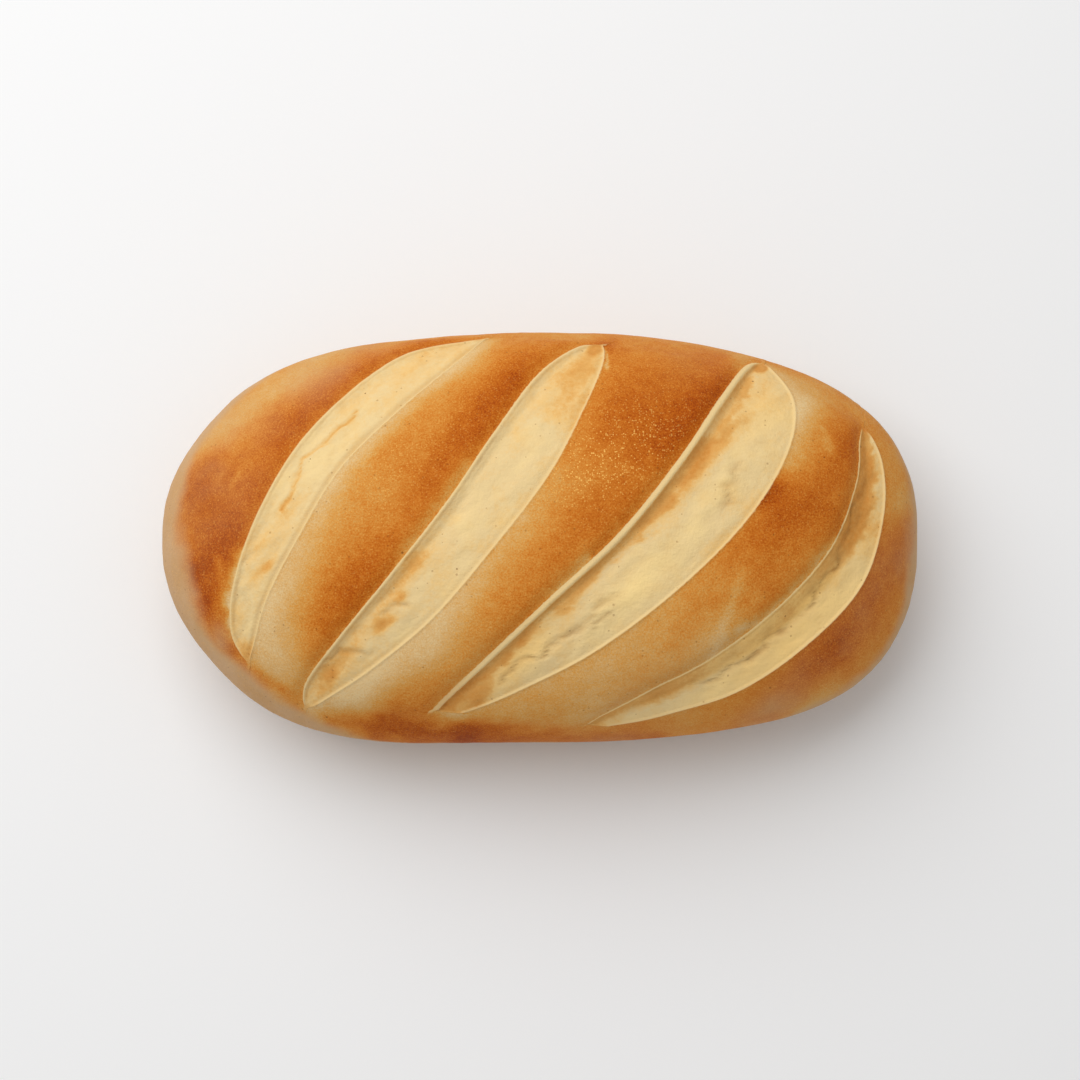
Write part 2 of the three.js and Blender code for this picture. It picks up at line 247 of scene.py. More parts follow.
# zone 0 is the left end, odd zones are cuts, even ones crust, and the last is the right end
zone_hoops = [END_HOOPS, *[CUT_HOOPS, RIDGE_HOOPS] * (len(CUTS) - 1), CUT_HOOPS, END_HOOPS]
even = [np.arange(count) / count for count in zone_hoops]
spaced = [1 - (1 - even[0]) ** END_CROWDING, *map(crowded, even[1:-1]), even[-1] ** END_CROWDING]
hoop_zone = np.append(np.repeat(np.arange(ZONES), zone_hoops), ZONES - 1)
hoop_share = np.append(np.concatenate(spaced), 1.0)
row_step = np.linspace(-1, 1, ROWS + 1)
row_b = row_step * (1 - TOP_CROWDING) + TOP_CROWDING * row_step ** TOP_CROWDING_POWER
print("hoops", len(hoop_zone), "rows", len(row_b))


# %% Where each cut crosses the rows
def lip_at(lip, b):
    """The place across the hoops where a lip passes b. Beyond its tips it goes straight on."""
    a, along = lip
    return np.interp(b, np.maximum.accumulate(along), a)


def cut_rows(lips, b):
    """For every row: the lips' places across the hoops, kept apart, half the gap being
    sqrt(true half^2 + least^2), then their points, and how much of that gap is a real opening,
    from 0 to 1."""
    left, right = (lip_at(lips[side], b) for side in SIDES)
    middle, half = (left + right) / 2, np.hypot((right - left) / 2, LEAST_GAP)
    row = dict(left_a=middle - half, right_a=middle + half)
    row["real"] = np.maximum(right - left, 0) / (row["right_a"] - row["left_a"])
    for side in SIDES:
        row[side] = bare_skin(*from_hoops(row[side + "_a"], b))
    return row


cut_row = [cut_rows(lips, row_b) for lips in LIPS]
for number, row in enumerate(cut_row, 1):
    print("cut", number, "crosses", int((row["real"] > 0).sum()), "rows")

# %% Lay the grid over the bare skin: every zone runs from one lip, or end, to the next
end_row = np.ones_like(row_b)
borders = np.array([-end_row, *(row[side + "_a"] for row in cut_row for side in SIDES), end_row])
grid_a = borders[hoop_zone] + np.diff(borders, axis=0)[hoop_zone] * hoop_share[:, None]
grid_b = np.broadcast_to(row_b, grid_a.shape)
grid_u, grid_v = from_hoops(grid_a, grid_b)
bare = bare_skin(grid_u, grid_v)
outward = skin_normal(grid_u, grid_v)
print("grid", bare.shape)

# %% [markdown]
# ## How far every point is from a lip
# Nearly everything about this crust follows from the cuts: the relief, the pale halo beside a rim,
# the darker crust above a lip. So each point of the grid first learns which cut it lies in or
# beside, how far it is from each lip in millimetres, and how wide that cut gapes at its row.

# %% Distances to the lips, mm
FAR = 60.0
CLOSED_GAP = 0.01
TIP_FADE_GAP = 4.0
TIP_FADE_ROWS = 7
TIP_EDGE_ROWS = 1.5


def nearest_distance(points, line):
    """The shortest distance to a line of places: the nearest point of each of its straight pieces."""
    line = np.asarray(line, float)
    nearest = np.full(points.shape[:-1], FAR)
    for start, piece in zip(line[:-1], np.diff(line, axis=0)):
        t = np.clip((points - start) @ piece / (piece @ piece), 0, 1)
        away = points - start - t[..., None] * piece
        nearest = np.minimum(nearest, np.sqrt((away ** 2).sum(-1)))
    return nearest


def openness(gap):
    """0 where a cut has closed, 1 where it gapes: gap^2 / (gap^2 + TIP_FADE_GAP^2)."""
    return gap ** 2 / (gap ** 2 + TIP_FADE_GAP ** 2)


def along_row(values):
    """One value for a whole cut, or three, at its foot, middle and head, joined over b by lines."""
    return np.interp(row_b, FOOT_TO_HEAD, np.broadcast_to(values, 3))


def smoothed(rows, spread):
    """A running mean along the rows, weighted by a bell curve exp(-(steps / spread)^2 / 2)."""
    steps = np.arange(-math.ceil(3 * spread), math.ceil(3 * spread) + 1)
    weights = np.exp(-0.5 * (steps / spread) ** 2)
    return np.convolve(rows, weights / weights.sum(), mode="same")


# %% How open each cut is, row by row
for row in cut_row:
    crossed = row["real"] > 0
    row["lines"] = {side: row[side][crossed] for side in SIDES}
    row_gap = np.linalg.norm(row["right"] - row["left"], axis=-1) * row["real"]
    row["open"], row["open_near"] = openness(row_gap), openness(smoothed(row_gap, TIP_FADE_ROWS))
    row["real"] = smoothed(row["real"], TIP_EDGE_ROWS)

# %% What every point learns about the cuts beside it
RIM_NAMES = ("halo", "halo_reach")
EAR_NAMES = ("depth", "lip", "band", "wall", "bend", "groove", "toasted", "ear")

shape = grid_a.shape
in_cut = np.broadcast_to((hoop_zone % 2 == 1)[:, None], shape)
share = np.broadcast_to(hoop_share[:, None], shape)
ear_away, rim_away = np.full(shape, FAR), np.full(shape, FAR)
ear_open, rim_open, ear_near, rim_near, real = (np.zeros(shape) for _ in range(5))
of_cut = {name: np.zeros(shape) for name in RIM_NAMES + EAR_NAMES}

# a zone of crust lies between the rim of one cut and the ear of the next; a cut is both to itself
for zone in range(ZONES):
    here = hoop_zone == zone
    rim_cut, ear_cut = (zone + 1) // 2 - 1, zone // 2
    if rim_cut >= 0:
        row = cut_row[rim_cut]
        rim_away[here] = nearest_distance(bare[here], row["lines"]["right"])
        rim_open[here], rim_near[here] = row["open"], row["open_near"]
        for name in RIM_NAMES:
            of_cut[name][here] = along_row(CUTS[rim_cut][name])
    if ear_cut < len(CUTS):
        row = cut_row[ear_cut]
        ear_away[here] = nearest_distance(bare[here], row["lines"]["left"])
        ear_open[here], ear_near[here] = row["open"], row["open_near"]
        real[here] = row["real"]
        for name in EAR_NAMES:
            of_cut[name][here] = along_row(CUTS[ear_cut][name])

from_left, from_right = ear_away * real, rim_away * real
gap = np.maximum(from_left + from_right, CLOSED_GAP)
cut_open = openness(gap) * in_cut
print("share of points in the cuts:", round(float(in_cut.mean()), 2))
print("widest gap, mm:", round(float(gap[in_cut].max()), 1))

# %% [markdown]
# ## Relief
# Light falls off a lip into the cut, runs up the crumb and catches on the far rim. A thin band of
# crumb turns over the left lip, then a short wall drops into a crease. From there the floor bulges
# up and climbs to the right rim, which stands a little proud. Between two cuts the crust swells to
# a pillow. All of it is added to the bare skin along its normal, from the distances above.

# %% Sizes of the main relief, mm
FULL_DEPTH_GAP, FULL_BAND_GAP = 13, 10
FLOOR_LIFT = 0.14
LEAST_WALL, LEAST_FLOOR = 0.05, 1e-6
LIP_WIDTH = 0.6
RIM_RISE, RIM_WIDTH, RIM_FACE = 0.25, 0.5, 0.8
RIM_CREASE_PLACE, RIM_CREASE_WIDTH = 1.3, 0.8
EAR_RISE, EAR_WIDTH, EAR_DIP_WIDTH = 1.2, 9.0, 3.0
PILLOW_RISE = 1.6
# shares of the lip band's width: its top, its spread, and how far past its foot the wall runs out
BAND_TOP, BAND_SPREAD, WALL_RUN_OUT = 0.8, 0.6, 0.3
BAND_SOFTNESS = 0.25
WAVES = ((0.5, 7, 3, 0.4), (0.4, -4, 8, 2.1), (0.3, 13, 6, 4.0))
WAVES_STOP_AT, WAVES_FADE = 0.85, 0.3


# %% Main relief
def bump(distance, width):
    """A round-topped ridge: exp(-(distance / width)^2)."""
    return np.exp(-((distance / width) ** 2))


def ease(value, low, high):
    """0 below low, 1 above high, and 3t^2 - 2t^3 between them."""
    t = np.clip((value - low) / (high - low), 0, 1)
    return t * t * (3 - 2 * t)


def cut_profile():
    """Where the lip band ends and where the wall meets the floor, in mm from the left lip."""
    band = of_cut["band"] * np.minimum(gap / FULL_BAND_GAP, 1)
    return band, band + np.maximum(of_cut["wall"] * gap, LEAST_WALL)


def lip_rise(distance, band):
    """The raised band over a left lip: a ridge whose top lies BAND_TOP of the band inside the lip."""
    return of_cut["lip"] * bump(distance - BAND_TOP * band, BAND_SPREAD * band + BAND_SOFTNESS)


def cut_relief():
    """Wall down from the lip band, then a floor that rises to the right rim as (1 - climb)^bend, with
    a crease before the rim. The lips stand up from it."""
    depth = of_cut["depth"] * np.tanh(gap / FULL_DEPTH_GAP) * openness(gap)
    band, wall_foot = cut_profile()
    climb = np.clip((from_left - wall_foot) / np.maximum(gap - wall_foot, LEAST_FLOOR), 0, 1)
    floor = depth * ((1 - FLOOR_LIFT) * (1 - climb) ** np.maximum(of_cut["bend"], 1) + FLOOR_LIFT)
    drop = ease(from_left, BAND_TOP * band, wall_foot + WALL_RUN_OUT * band)
    rim_face = ease(from_right, 0, RIM_FACE)
    crease = of_cut["groove"] * bump(from_right - RIM_CREASE_PLACE, RIM_CREASE_WIDTH)
    lips = lip_rise(from_left, band) + RIM_RISE * bump(from_right, RIM_WIDTH)
    return openness(gap) * (lips - crease) - drop * rim_face * floor


def crust_relief():
    """Fine raised lines along the lips, the ear before the next cut (a wide ridge less a narrow one)
    and the pillow between, a half sine wave from cut to cut."""
    ear = EAR_RISE * (bump(ear_away, EAR_WIDTH) - bump(ear_away, EAR_DIP_WIDTH))
    pillow = PILLOW_RISE * np.sin(np.pi * share) * rim_near * ear_near * ~in_cut
    rim = rim_open * RIM_RISE * bump(rim_away, RIM_WIDTH)
    return pillow + rim + ear_open * lip_rise(0, of_cut["band"]) * bump(ear_away, LIP_WIDTH) + ear_near * ear


def skin_waves():
    """Long soft sine waves over the skin, faded out before the resting edge."""
    height = sum(h * np.sin(across * grid_u + along * grid_v + phase) for h, across, along, phase in WAVES)
    return height * ease(WAVES_STOP_AT - np.hypot(grid_u, grid_v), 0, WAVES_FADE)


relief = np.where(in_cut, cut_relief() + (1 - cut_open) * crust_relief(), crust_relief()) + skin_waves()
print("relief from", round(float(relief.min()), 1), "to", round(float(relief.max()), 1), "mm")

# %% [markdown]
# ## Small uneven things
# Baked dough is never smooth: the crust has faint lumps, the crumb in a cut is wrinkled where it
# tore, and its lips wander. Random numbers make these, but always the same ones: a table of random
# values fills a box grid, and the values are eased from corner to corner.

# %% Soft noise
TABLE = 48


def soft_noise(points, size, seed):
    """Random values from -1 to 1 at the corners of boxes of the given size, blended between the
    eight corners with weights 3t^2 - 2t^3."""
    table = np.random.default_rng(seed).uniform(-1, 1, (TABLE,) * 3)
    cell = points / np.asarray(size, float)
    low = np.floor(cell).astype(int)
    t = cell - low
    w = t * t * (3 - 2 * t)
    total = np.zeros(points.shape[:-1])
    for corner in itertools.product((0, 1), repeat=3):
        weight = np.prod(np.where(np.array(corner, bool), w, 1 - w), axis=-1)
        index = (low + np.array(corner)) % TABLE
        total += weight * table[index[..., 0], index[..., 1], index[..., 2]]
    return total


def rough_noise(points, size, seed, layers=3):
    """Soft noise in ever finer layers, each half the size and half the strength of the last."""
    return sum(soft_noise(points, np.asarray(size, float) / 2 ** k, seed + k) / 2 ** k for k in range(layers))


def crinkles(points, size, seed):
    """Sharp valleys where soft noise crosses zero: sqrt(|noise|) + sqrt(|finer noise|) / 2 - 1."""
    first = np.sqrt(np.abs(soft_noise(points, size, seed)))
    second = np.sqrt(np.abs(soft_noise(points, np.asarray(size, float) / 2, seed + 1)))
    return first + 0.5 * second - 1


# %% Lengths along the cuts and across them, as wrinkles are long one way and short the other
CUT_BEARING = math.radians(49)
cut_frame = np.stack([*rotated(bare[..., 0], bare[..., 1], -CUT_BEARING), bare[..., 2]], axis=-1)
print("along and across the cuts, mm:", np.ptp(cut_frame, axis=(0, 1)).round()[:2])

# %% Folds that can be seen one by one
# Each is a line of places seen from above (mm), its depth and its width.
FOLDS = (
    dict(line=((-62, 37), (-68, 31), (-74, 25), (-80, 19), (-82, 10), (-87, 4)), depth=0.5, width=0.7),
    dict(line=((67, 18), (63, 15), (64, 12), (61, 9), (63, 4), (60, 1)), depth=0.6, width=0.8),
    dict(line=((24, -28), (18, -32), (13, -38), (5, -42), (0, -47)), depth=0.7, width=0.9),
    dict(line=((-3, -48), (-9, -50), (-13, -54)), depth=0.6, width=0.8),
    dict(line=((22, -34), (17, -37)), depth=0.5, width=0.7),
    dict(line=((-44, -30), (-48, -30), (-52, -33)), depth=0.5, width=0.8),
    dict(line=((-60, -45), (-68, -44), (-72, -47)), depth=0.5, width=0.8),
)
CRINKLE_LINE = ((108, 10), (104, -3), (99, -17), (91, -29), (80, -39), (67, -49), (54, -57))
FOLD_WANDER, FOLD_WANDER_SIZE = 1.5, 5
# a fold is a groove between two soft shoulders: shares of its depth, and of its width
FOLD_GROOVE, FOLD_SHOULDER, FOLD_SHOULDER_WIDTH = 1.6, 0.6, 2.6

wander = [rough_noise(bare, FOLD_WANDER_SIZE, seed, layers=2) for seed in (31, 34)]
wandering = bare[..., :2] + FOLD_WANDER * np.stack(wander, axis=-1)
fold_away = np.stack([nearest_distance(wandering, fold["line"]) for fold in FOLDS])
fold_depth = np.array([fold["depth"] for fold in FOLDS])[:, None, None]
fold_width = np.array([fold["width"] for fold in FOLDS])[:, None, None]
fold_shoulder = FOLD_SHOULDER * bump(fold_away, FOLD_SHOULDER_WIDTH * fold_width)
fold_relief = (fold_depth * (fold_shoulder - FOLD_GROOVE * bump(fold_away, fold_width))).sum(0)
print("folds:", len(FOLDS), "from", round(float(fold_relief.min()), 2), "mm deep")

# %% Fine relief on the crust, mm
LUMP_RISE, DIMPLE_RISE = 0.16, 0.06
WANDER_RISE, WANDER_WIDTH = 0.15, 1.2
SMOOTH_BY_LIP = 1.5

crust_lumps = LUMP_RISE * rough_noise(bare, size=11, seed=11) + DIMPLE_RISE * soft_noise(bare, 2.6, seed=15)
crust_lumps *= (1 - bump(ear_away, SMOOTH_BY_LIP)) * (1 - bump(rim_away, SMOOTH_BY_LIP))
lip_wander = WANDER_RISE * soft_noise(cut_frame, size=(4, 30, 30), seed=28) * bump(ear_away, WANDER_WIDTH)

# %% Fine relief in the cuts, mm
WRINKLE_RISE, CRINKLE_RISE, TEAR_RISE = 0.36, 0.24, 0.40
CRACK_DEPTH, CRACK_WIDTH = 0.8, 0.7
FLAKE_RISE, FLAKE_REACH = 0.5, 4
FINE_STOPS_AT = 0.95

band_end, wall_foot = cut_profile()
floor_crinkles = crinkles(cut_frame, size=(6, 3.2, 5), seed=24)
floor_wrinkles = WRINKLE_RISE * rough_noise(cut_frame, (9, 4, 7), seed=21) + CRINKLE_RISE * floor_crinkles
floor_wrinkles *= ease(from_left, band_end, wall_foot) * ease(from_right, 1, 4)
torn_wall = TEAR_RISE * crinkles(cut_frame, size=(5.5, 3.2, 4), seed=26)
torn_wall *= ease(from_left, band_end, band_end + 1) * (1 - ease(from_left, wall_foot + 1, wall_foot + 4))
crinkle_away = nearest_distance(wandering, CRINKLE_LINE)
flakes = FLAKE_RISE * crinkles(cut_frame, size=3.2, seed=29) * bump(crinkle_away, FLAKE_REACH)
crack = -CRACK_DEPTH * bump(crinkle_away, CRACK_WIDTH)
in_cut_fine = cut_open * (floor_wrinkles + torn_wall + fold_relief + crack + flakes)

# %% All the fine relief, faded out before the resting edge
fine = np.where(in_cut, in_cut_fine, crust_lumps) + lip_wander * np.where(in_cut, cut_open, ear_open)
relief = relief + fine * ease(FINE_STOPS_AT - np.hypot(grid_u, grid_v), 0, WAVES_FADE)
print("fine relief up to", round(float(np.abs(fine).max()), 2), "mm")

# %% [markdown]
# ## The finished skin as one closed mesh
# The hoops end at the resting edge, so a few more rows carry them back across the underside. The
# underside of a loaf baked on a flat oven floor is flat, with shallow hollows. At both ends the
# hoops shrink to one point, a pole, so those rows share a single vertex and the skin stays closed.

# %% Points of the whole skin
HOLLOW_DEPTH = 0.5

skin = bare + outward * relief[..., None] * (np.abs(grid_b) < 1)[..., None]
back_again = (np.arange(1, UNDERSIDE_ROWS) / UNDERSIDE_ROWS)[None, :, None]
front_edge, back_edge = skin[:, :1], skin[:, -1:]
underside = back_edge + (front_edge - back_edge) * back_again
hollow = ease(soft_noise(underside, 16, 51) + 0.5 * soft_noise(underside, 6, 52), 0.1, 1.2)
underside[..., 2] = HOLLOW_DEPTH * hollow * np.sin(np.pi * back_again[..., 0])
skin = np.concatenate([skin, underside], axis=1)

# the same fit to the measured loaf in all three directions
own_low, own_high = skin.min(axis=(0, 1)), skin.max(axis=(0, 1))
fit = (LOAF_HIGH - LOAF_LOW) / (own_high - own_low)
skin = LOAF_LOW + (skin - own_low) * fit
print("own size, mm:", np.round(own_high - own_low, 1), "fit:", np.round(fit, 4))


# %% From grid to mesh
def grid_faces(hoops, rows):
    """Quads between neighbouring hoops, the rows closing on themselves, with one vertex at each
    pole. Vertex 0 and the last vertex are the poles."""
    number = 1 + np.arange((hoops - 2) * rows).reshape(hoops - 2, rows)
    ahead = np.roll(number, -1, axis=1)
    quads = np.stack([number[:-1], number[1:], ahead[1:], ahead[:-1]], axis=-1).reshape(-1, 4)
    last = number[-1, -1] + 1
    first_fan = np.stack([np.zeros(rows, int), number[0], ahead[0]], axis=-1)
    last_fan = np.stack([np.full(rows, last), ahead[-1], number[-1]], axis=-1)
    return quads, np.concatenate([first_fan, last_fan])


def skin_mesh(name, points):
    """Puts a grid of points (mm) into a mesh (m)."""
    quads, fans = grid_faces(*points.shape[:2])
    flat = np.concatenate([points[0, :1], points[1:-1].reshape(-1, 3), points[-1, :1]]) * MM
    mesh = bpy.data.meshes.new(name)
    mesh.from_pydata(flat.tolist(), [], quads.tolist() + fans.tolist())
    mesh.shade_smooth()
    return mesh


loaf_mesh = skin_mesh("white_loaf", skin)
white_loaf = bpy.data.objects.new("white_loaf", loaf_mesh)
bpy.context.collection.objects.link(white_loaf)

# a volume above zero shows that the faces point outwards
whole = bmesh.new()
whole.from_mesh(loaf_mesh)
print("litres:", round(whole.calc_volume(signed=True) * 1000, 3), "vertices:", len(whole.verts))
whole.free()

# %% [markdown]
# ## Baking the colour
# Crust browns where it dries first: on what stands up and faces the heat. It is palest in a halo
# beside each right rim, where the skin stretched open late, and darker towards the next left lip.
# The sides, low down, stay pale, with a fairly sharp edge to the brown. These are slow changes,
# worked out for each point and stored in the mesh as attributes, which the material reads. Noise in
# the material alone could brown a crust too, but it wouldn't know where the cuts are.

# %% Soft spots: place seen from above, reach along the cuts and across them (mm), amount
BROWN_SPOTS = (
    (-84, -8, 26, 9, 0.18), (-110, 2, 26, 13, 0.17), (-45, 36, 22, 9, 0.12), (-62, -22, 14, 7, 0.14),
    (-14, 44, 14, 8, 0.12), (52, 34, 24, 7, 0.18), (34, 46, 22, 14, 0.14), (10, 30, 26, 8, 0.06),
    (-26, -46, 16, 7, -0.06), (30, 12, 14, 9, 0.06), (-44, -67, 7, 12, 0.08), (-52, -65, 8, 4, 0.08),
    (90, 2, 12, 12, 0.16), (76, -14, 14, 8, 0.06), (98, -42, 34, 10, 0.29), (120, -8, 32, 10, 0.21),
    (-80, 40, 20, 6, 0.15), (-120, 22, 13, 6, 0.12), (-110, -12, 9, 5, 0.16), (-112, -25, 7, 3.5, 0.26),
    (-26, 27, 15, 7, 0.2), (-36, 9, 11, 6, 0.08), (20, 28, 24, 11, 0.18), (14, -5, 11, 6, 0.12),
    (95, 30, 15, 8, 0.08), (-45, 56, 10, 4, 0.1), (66, -8, 10, 6, 0.1), (79, 1, 15, 8, 0.26),
    (76, 8, 7, 4, 0.46), (23, 56, 8, 5, 0.14), (104, 20, 12, 6, 0.12), (40, 30, 14, 7, 0.12),
    (-40, -2, 12, 8, 0.05), (-26, -71, 10, 5, 0.22), (103, 27, 9, 5, 0.18), (-8, 49, 9, 5, 0.1),
    (-114, 8, 18, 9, 0.12), (-118, -18, 6, 5, 0.14), (-92, 41, 12, 6, 0.16), (-117, 16, 13, 7, 0.28),
    (-107, -5, 8, 5, 0.12), (20, 60, 8, 4, 0.22), (73, -28, 9, 5, 0.12), (102, -46, 8, 5, 0.08),
    (90, -21, 8, 4, 0.12), (-101, -39, 6, 4, 0.08),
)
# some pale spots are painted light: (59, -45), (56, -38) and (54, -42) are a painted highlight on the left
# lip of the fourth cut, (12, -14) lightens the shaded ear of the third cut, and (90, -64) is painted light
# from the floor on the lower right side
PALE_SPOTS = (
    (-112, 34, 14, 6, 0.2), (-94, 46, 12, 5, 0.16), (-50, 67, 12, 4, 0.14), (-62, -54, 16, 8, 0.28),
    (-80, 56, 26, 9, 0.18), (88, 40, 12, 6, 0.2), (54, -42, 12, 4, 0.12), (24, -58, 26, 9, 0.1),
    (-20, -52, 18, 7, 0.08), (-83, -46, 14, 8, 0.12), (-36, -43, 13, 6, 0.18), (17, -57, 12, 7, 0.08),
    (42, -24, 18, 4, 0.08), (59, -45, 16, 3.5, 0.2), (-84, -52, 10, 8, 0.16), (-28, -64, 5, 3, 0.18),
    (-22, -45, 10, 5, 0.07), (12, -14, 9, 4, 0.07), (36, 12, 8, 4, 0.08), (56, -38, 12, 5, 0.08),
    (90, -64, 20, 5.5, 0.45), (-22, 52, 8, 5, 0.1), (-74, -60, 8, 4, 0.15), (69, 59, 6, 4, 0.28),
    (-99, 16, 12, 5, 0.1), (-33, 39, 8, 5, 0.06), (86, -15, 8, 4, 0.06), (125, 10, 8, 5, 0.22),
)


def soft_spots(spots):
    """Sum of amount * exp(-((along / reach)^2 + (across / reach)^2))."""
    total = np.zeros(shape)
    for x, y, reach_along, reach_across, amount in spots:
        along, across = rotated(bare[..., 0] - x, bare[..., 1] - y, -CUT_BEARING)
        total += amount * np.exp(-((along / reach_along) ** 2 + (across / reach_across) ** 2))
    return total


print("spots:", len(BROWN_SPOTS), "brown,", len(PALE_SPOTS), "pale")

# %% Pale streaks where the dough was brushed, two of them painted highlight on lips, and brown ones below zero: places, width (mm), amount
STREAKS = (
    (((-72, -63), (-58, -67), (-46, -68), (-34, -70), (0, -72), (40, -71)), 4, -0.28),
    (((-119, -12), (-113, -28), (-104, -42)), 3, -0.10),
    (((-99.5, -12), (-101.5, -18), (-103, -25), (-102.8, -32), (-101.5, -37)), 1.9, 0.50),
    (((-105, -25), (-104.5, -36)), 2.5, 0.12),
    (((-99, -48), (-93, -52), (-88, -54)), 2.5, -0.13),
    # a painted highlight along the left lip of the fourth cut
    (((98, -6), (93, -13), (88, -19), (76, -31), (66, -38)), 1.8, 0.22),
    # a painted highlight on the ear beside the third cut's left lip
    (((4, -27), (10, -21), (15, -15)), 2.2, 0.22),
    (((22, 60.5), (23, 57), (22.4, 52)), 1.0, 0.40),
    (((-47, -18), (-39, -4), (-32, 5), (-24, 15)), 2.6, 0.20),
    (((65, -20), (62, -34), (56, -45)), 1.8, 0.16),
    (((71, -24), (70, -34)), 1.2, 0.10),
    (((95, 31), (97, 21)), 1.0, 0.16),
    (((-101, 21), (-105, 9)), 0.9, 0.14),
    (((-105, 26), (-110, 14)), 1.2, 0.10),
    (((-108, -12), (-103, -34)), 1.6, 0.16),
)

# %% Browning of the crust, from 0 to 1
BASE_BROWNING = 0.52
BROWNEST_UNBRUSHED = 0.92
EAR_REACH, EAR_LINE_SHARE, EAR_LINE_WIDTH = 16, 0.3, 2.5
PATCHY, MOTTLED = 0.05, 0.03

browning = BASE_BROWNING + soft_spots(BROWN_SPOTS) - soft_spots(PALE_SPOTS)
ear_heat = bump(ear_away, EAR_REACH) - EAR_LINE_SHARE * bump(ear_away, EAR_LINE_WIDTH)
browning += of_cut["ear"] * ear_near * ear_heat
browning -= of_cut["halo"] * rim_near * bump(rim_away, np.maximum(of_cut["halo_reach"], 1))
browning += PATCHY * rough_noise(bare, size=14, seed=71) + MOTTLED * soft_noise(bare, size=3, seed=75)
browning = np.clip(browning, 0, BROWNEST_UNBRUSHED)
for line, width, amount in STREAKS:
    browning -= amount * bump(nearest_distance(wandering, line), width)
browning = np.clip(browning, 0, 1)

# %% How far up the sides stay pale, as a share of the height: bearing, share, spread
SIDE_PALE_BASE = 0.35
SIDE_PALE_RISES = (
    (183, 0.24, 14), (214, 0.21, 13), (155, 0.12, 12), (336, 0.12, 14), (4, 0.18, 13), (100, 0.10, 40),
)
SIDE_EDGE_WANDER, SIDE_EDGE_BELOW, SIDE_EDGE_ABOVE = 0.04, 0.06, 0.04
SOLE_TOP, SOLE_WANDER = 12, 2.5

plan_bearing = np.degrees(np.arctan2(bare[..., 1], bare[..., 0]))
side_edge = SIDE_PALE_BASE + SIDE_EDGE_WANDER * rough_noise(bare, size=18, seed=61, layers=4)
side_edge += bells(plan_bearing, SIDE_PALE_RISES)
height_share = np.clip(bare[..., 2] / CROWN_HEIGHT, 0, 1)
side_pale = 1 - ease(height_share, side_edge - SIDE_EDGE_BELOW, side_edge + SIDE_EDGE_ABOVE)
sole = 1 - ease(bare[..., 2] + SOLE_WANDER * rough_noise(bare, size=20, seed=68), 1, SOLE_TOP)

# %% Dry flour that was left on the skin greys it in a few places
FLOURY_SPOTS = (
    (-112, 34, 20, 8, 0.26), (126, -8, 40, 9, 0.3), (-118, 14, 12, 7, 0.22), (-106, 6, 30, 16, 0.14),
    (-109, -39, 6, 5, 0.7), (-70, 62, 34, 12, 0.34), (60, 66, 40, 10, 0.1), (30, -64, 60, 12, 0.2),
    (84, -62, 24, 8, 0.34), (72, -67, 14, 5, 0.35),
)
FLOUR_MEAN, FLOUR_CLOUDS = 0.8, 0.5
FLOUR_THINS, FLOUR_ENDS = 0.72, 0.97

floury = soft_spots(FLOURY_SPOTS) * (FLOUR_MEAN + FLOUR_CLOUDS * rough_noise(bare, size=12, seed=66))
below_crown = 1 - ease(height_share, FLOUR_THINS, FLOUR_ENDS)
side_pale = np.maximum(side_pale, np.clip(floury, 0, 1) * below_crown)

# %% [markdown]
# ## Crumb in the cuts
# Crumb that was torn open last stays cream. Where it stood open longer it toasts to gold, first
# along the foot of a wall and in patches. Painted shade darkens the creases and the steep wall, and
# where a cut lies in shade its crumb is painted paler and warmer, which is painted light. These are
# stored as the crust's browning is. Paint on a picture could do the same, but it would have to be
# wrapped round the lips.

# %% Toasted patches, and paler ones below zero, partly painted light; warm patches: yellower crumb and painted light
# the paler spots in the third and fourth cuts lighten crumb that lies in shade: painted light
TOAST_AND_LIGHT_SPOTS = (
    (98, -26, 34, 10, -0.6), (66, -50, 22, 8, -0.5), (62, 30, 4, 2.5, 0.5), (50, 11, 7, 3, 0.3),
    (108, -4, 8, 4, 0.3), (34, -22, 26, 6, -0.7), (55, 8, 20, 6, -0.3), (58, 22, 11, 3.5, 0.7),
    (-31, -60, 9, 4, 0.8), (-18, -57, 11, 3.5, 0.5), (-7, -51, 14, 4, 0.1), (10, -36, 16, 5, 0.1),
    (-43, -20, 9, 4, 0.3), (-50, -33, 9, 4, 0.22), (-53, -37, 3.2, 2.2, 0.9), (-49, -35, 2.2, 1.5, 0.6),
    (-46, -28, 2.4, 1.5, 0.8), (-39, -16, 5, 3, 0.15), (-64, -45, 8, 3, 0.5), (-71, -53, 8, 4, 0.5),
    (12, 51, 11, 5, 0.7), (12, 37, 12, 6, 0.5), (76, 46, 8, 5, 0.3), (46, 4, 12, 4, 0.4),
    (18.7, 60.6, 2.8, 2.2, 1.5), (76.6, 57.6, 2.2, 1.9, 1.6), (-91.5, -16, 3.5, 2.4, 0.5),
    (-8, -44, 7, 2, 0.5), (-99, -44, 7, 4, 0.6), (-86, 0, 16, 3.5, 0.2), (68, -2, 16, 3, 0.35),
    (113, 18, 12, 5, 0.5), (111, 2, 13, 8, 0.5), (104, -23, 6, 5, 0.12), (-92, -16, 6, 3, 0.35),
    (48, -1, 14, 4, 0.35), (20, -29, 12, 6, -0.2), (-1, -46, 9, 3.5, -0.3), (-23, -60, 8, 4, 0.5),
    (-33, -62, 5, 3, 0.5), (-38, 59, 10, 5, 0.25), (-30, 57, 7, 5, 0.3), (-47, 46, 12, 6, 0.25),
    (66, 34, 6, 4, 0.3), (114, -2, 8, 4, 0.3), (-13, -54, 6, 3, -0.4), (-80, 16, 12, 5, -0.25),
    (-20, 0, 14, 5, -0.2), (108, -13, 8, 4, 0.3),
)
